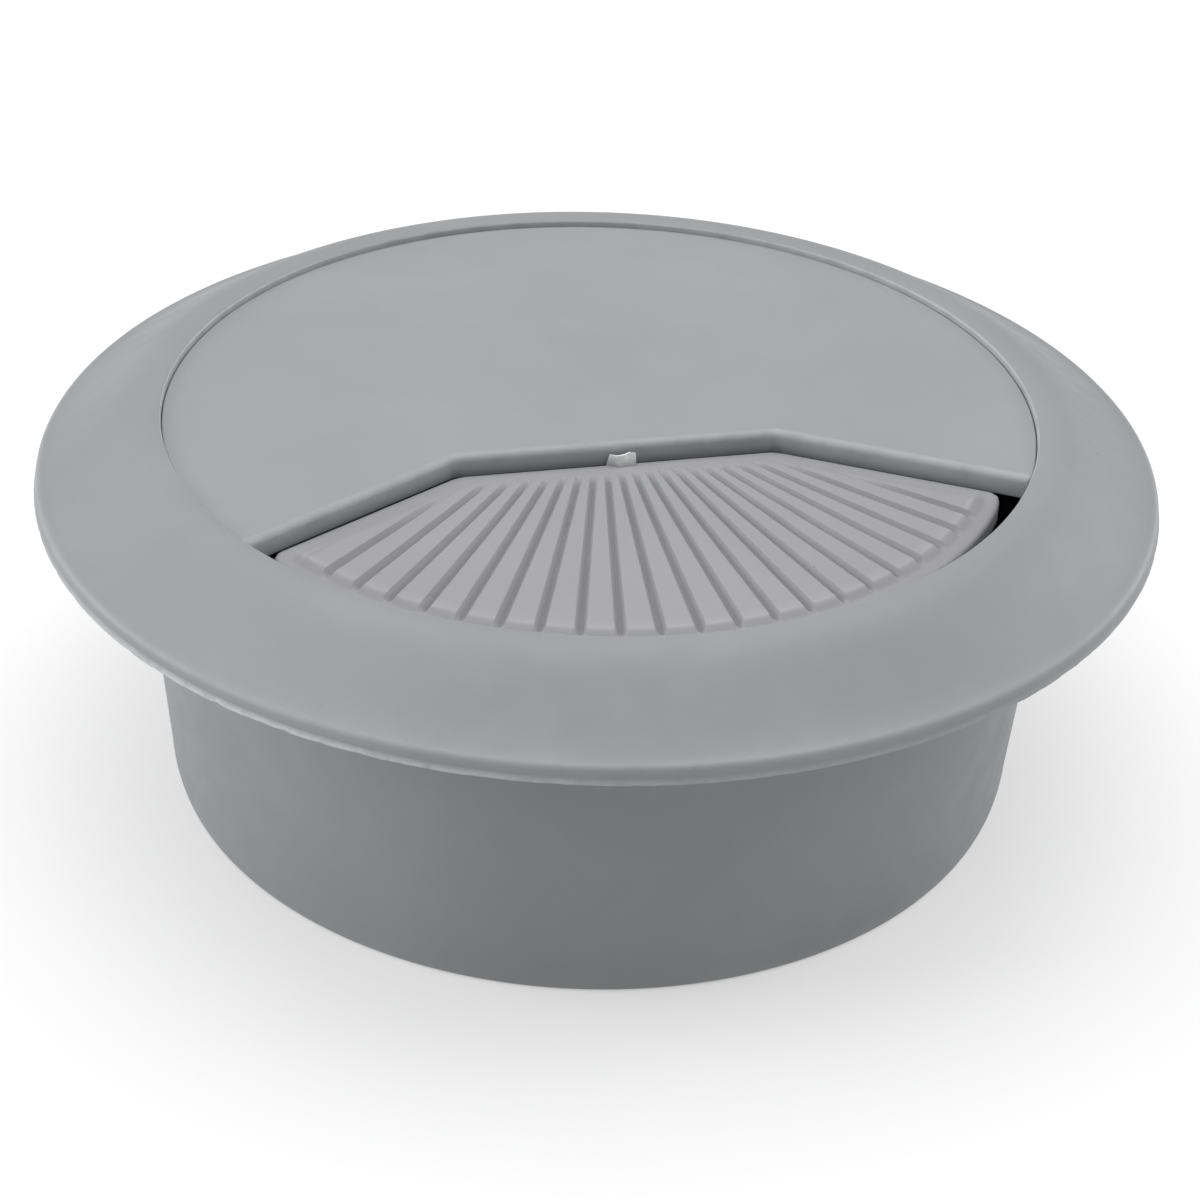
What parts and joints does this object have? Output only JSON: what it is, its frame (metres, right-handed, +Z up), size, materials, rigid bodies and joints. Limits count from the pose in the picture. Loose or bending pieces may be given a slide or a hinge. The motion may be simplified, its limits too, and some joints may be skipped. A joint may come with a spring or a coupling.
{
  "type": "desk grommet",
  "caption": "Round desk cable grommet: a flanged sleeve, a cap that turns in it with a cut-out, and a sprung flap ribbed like a fan that closes the cut-out.",
  "frame": {"origin": "centre of the sleeve's lower rim, on the surface that the part stands on", "axes": "+Z up along the cable hole, from the sleeve to the cap; the cap's cut-out and flap face -Y; +X is the flap's hinge line"},
  "size_m": [0.0722, 0.0722, 0.0256],
  "materials": {
    "liner_plastic": "light grey, fine moulded satin",
    "cap_plastic": "light grey, fine moulded satin",
    "flap_plastic": "light grey, fine moulded satin",
    "pin_steel": "drawn wire, bright",
    "spring_steel": "drawn wire, zinc plated"
  },
  "bodies": {
    "liner": {"liner": "liner_plastic"},
    "cap": {"cap": "cap_plastic", "hinge_pin": "pin_steel", "return_spring": "spring_steel"},
    "flap": {"flap": "flap_plastic"}
  },
  "joints": [
    {"name": "cap_turn", "type": "hinge", "parent": "liner", "child": "cap", "pos_m": [0, 0, 0.0235], "axis": [0, 0, 1], "continuous": true},
    {"name": "flap_hinge", "type": "hinge", "parent": "cap", "child": "flap", "pos_m": [0, -0.0026, 0.02146], "axis": [1, 0, 0], "range_deg": [0, 65], "stiffness_Nm_per_rad": 0.004, "springref_deg": -57.3, "deforming": ["return_spring"]}
  ]
}
